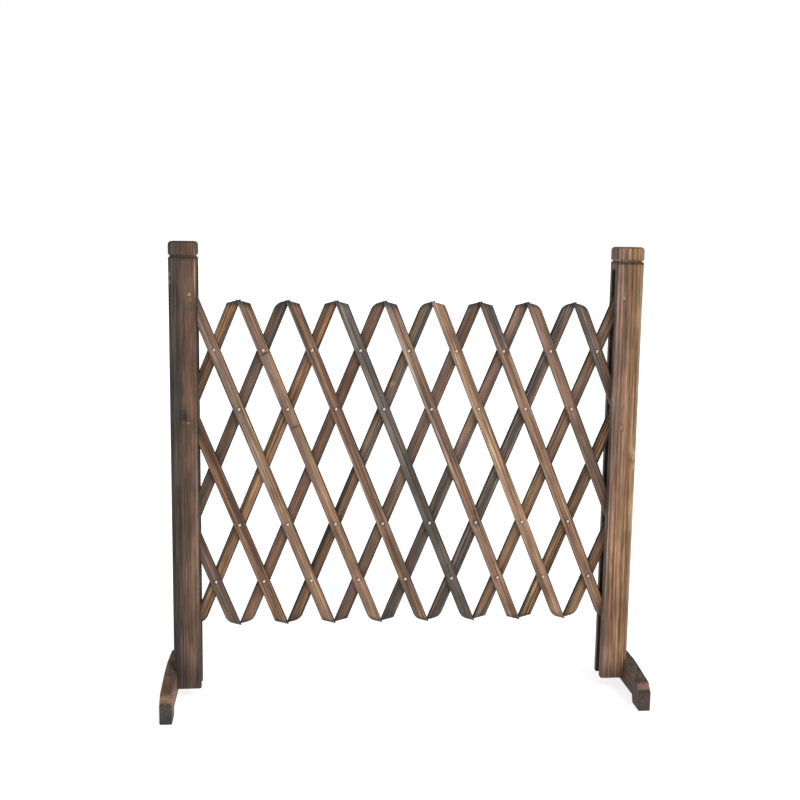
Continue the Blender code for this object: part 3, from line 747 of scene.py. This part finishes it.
wornZinc = zincSteel("wornZincPinSteel", pin)
pinMaster = turnedShank(
    "pinMaster", pin, pin["seat"], pin["end"] - pin["chamfer"][0],
    ((0, pin["head"] / pin["shank"]), *pin["dome"]), (pin["chamfer"],))
for side in ("left", "right"):
    node = side + "_pivot_pin"
    spot = middle(node)
    piece = copyTo(pinMaster, side + "_domed_pivot_pin", (spot.x, 0, spot.z), wornZinc)
    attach(piece, side + "_post")
    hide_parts(node)
bpy.data.objects.remove(pinMaster)
print("stage: pivot pins set")


# foot screws: countersunk heads with a cross recess, a plain shank, a thread and a point

screw = {"tone": "75675c", "roughness": (0.42, 0.62), "sides": 24, "head": 3.8,
         "shank": 2.0, "length": 34.0, "sink": 2.4, "gap": 0.3,
         "rim": ((0.2, 1), (0.05, 0.97)), "threads": 9, "core": 1.5, "pitch": 2.0,
         "flank": 0.2, "point": (2.5, 0.15), "recessLong": 4.4, "recessWide": 0.85,
         "recessDeep": 1.3, "recessTaper": (0.45, 1, 0.6), "recessTurns": (45, 135)}


def modelScrew(size):
    # along the depth, with the head at the front and its face at the gap
    flank, gap = size["flank"], size["gap"]
    threadLength = size["threads"] * size["pitch"]
    shankEnd = size["length"] - gap - threadLength - flank - size["point"][0]
    toCore, toCrest = size["core"] / size["shank"], size["shank"] / size["core"]
    valley = (size["pitch"] - flank) / 2
    thread = ((flank, toCore), (valley, 1), (valley, toCrest)) * size["threads"]
    rimHeight = sum(rise for rise, scale in size["rim"])
    cone = (size["sink"] - gap - rimHeight, size["head"] / size["shank"])
    piece = turnedShank("screwMaster", size, size["sink"], shankEnd, (cone, *size["rim"]),
                        (*thread, (flank, toCore), size["point"]))
    for turn in size["recessTurns"]:      # two crossed blades cut the recess
        deselectAll()
        bpy.ops.mesh.primitive_cube_add(size=1, location=(0, gap * mm, 0))
        blade = bpy.context.object
        blade.dimensions = (size["recessLong"] * mm, 2 * size["recessDeep"] * mm,
                            size["recessWide"] * mm)
        applyPlace(blade)
        bpy.ops.object.mode_set(mode="EDIT")
        selectEnd(blade.data, 1, 1, (gap + size["recessDeep"]) * mm)
        bpy.ops.transform.resize(value=size["recessTaper"])      # narrower at the bottom
        bpy.ops.object.mode_set(mode="OBJECT")
        blade.rotation_euler = (0, radians(turn), 0)
        applyPlace(blade)
        deselectAll()
        bpy.context.view_layer.objects.active = piece
        recess = piece.modifiers.new("recess", "BOOLEAN")
        recess.operation = "DIFFERENCE"
        recess.solver = "EXACT"
        recess.object = blade
        bpy.ops.object.modifier_apply(modifier=recess.name)
        bpy.data.objects.remove(blade)
    return piece


dullZinc = zincSteel("dullZincScrewSteel", screw)
screwMaster = modelScrew(screw)
for side, sign in (("left", -1), ("right", 1)):
    for where in ("front", "rear"):
        node = f"{side}_foot_screw_{where}"
        low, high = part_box(node)
        spot = middle(node)
        outerFace = (high[0] if sign > 0 else low[0]) + sign * screw["gap"] * mm
        place = (Matrix.Translation((outerFace, spot.y, spot.z))
                 @ Matrix.Rotation(radians(90) * sign, 4, "Z"))
        piece = copyTo(screwMaster, f"{side}_cross_screw_{where}", place, dullZinc)
        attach(piece, side + "_post")
        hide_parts(node)
bpy.data.objects.remove(screwMaster)
print("stage: foot screws set")


# studio

studio = {
    "floorSize": 60.0, "floorTone": "f4f4f2", "floorRough": 0.9, "floorShine": 0.1,
    "floorGlow": 0.72,                               # keeps the pale floor free of shadow
    "roomLight": 0.36, "backdrop": 1.0,              # as the wood sees it, as the camera does
    "sun": 1.42, "sunSpread": 28, "sunTurn": (50, 0, 25),
    "cameraPlace": (-0.1891, -1.7273, 0.7328), "cameraYaw": -5.855,
    "cameraDown": 8.329, "cameraRoll": 0.828, "lens": 50.38, "sensor": 36,
}
white = linearColour("ffffff")

deselectAll()
bpy.ops.mesh.primitive_plane_add(size=studio["floorSize"])
floor = bpy.context.object
floor.name = "studio_floor"
paper, tree, shader = newMaterial("matteWhitePaper")      # a studio's paper sweep, no gloss
setInputs(tree, shader, {
    "Base Color": linearColour(studio["floorTone"]), "Roughness": studio["floorRough"],
    "Specular IOR Level": studio["floorShine"], "Emission Color": white,
    "Emission Strength": studio["floorGlow"]})
floor.data.materials.append(paper)

world = bpy.data.worlds.new("studioRoom")
world.use_nodes = True
bpy.context.scene.world = world
tree = world.node_tree
tree.nodes.clear()
dim = addNode(tree, "Background", {"Color": white, "Strength": studio["roomLight"]})
seen = addNode(tree, "Background", {"Color": white, "Strength": studio["backdrop"]})
mix = addNode(tree, "MixShader", {0: addNode(tree, "LightPath").outputs["Is Camera Ray"],
                                  1: dim, 2: seen})
addNode(tree, "OutputWorld", {"Surface": mix})

sunData = bpy.data.lights.new("softKey", "SUN")
sunData.energy = studio["sun"]
sunData.angle = radians(studio["sunSpread"])
sun = bpy.data.objects.new("softKey", sunData)
sun.rotation_euler = [radians(a) for a in studio["sunTurn"]]
bpy.context.collection.objects.link(sun)

cameraData = bpy.data.cameras.new("photoCamera")
cameraData.lens = studio["lens"]
cameraData.sensor_width = studio["sensor"]
camera = bpy.data.objects.new("photoCamera", cameraData)
camera.matrix_world = (Matrix.Translation(studio["cameraPlace"])
                       @ Matrix.Rotation(radians(studio["cameraYaw"]), 4, "Z")
                       @ Matrix.Rotation(radians(90 - studio["cameraDown"]), 4, "X")
                       @ Matrix.Rotation(radians(studio["cameraRoll"]), 4, "Z"))
bpy.context.collection.objects.link(camera)
bpy.context.scene.camera = camera
bpy.context.scene.view_settings.view_transform = "Standard"
print("stage: studio ready")
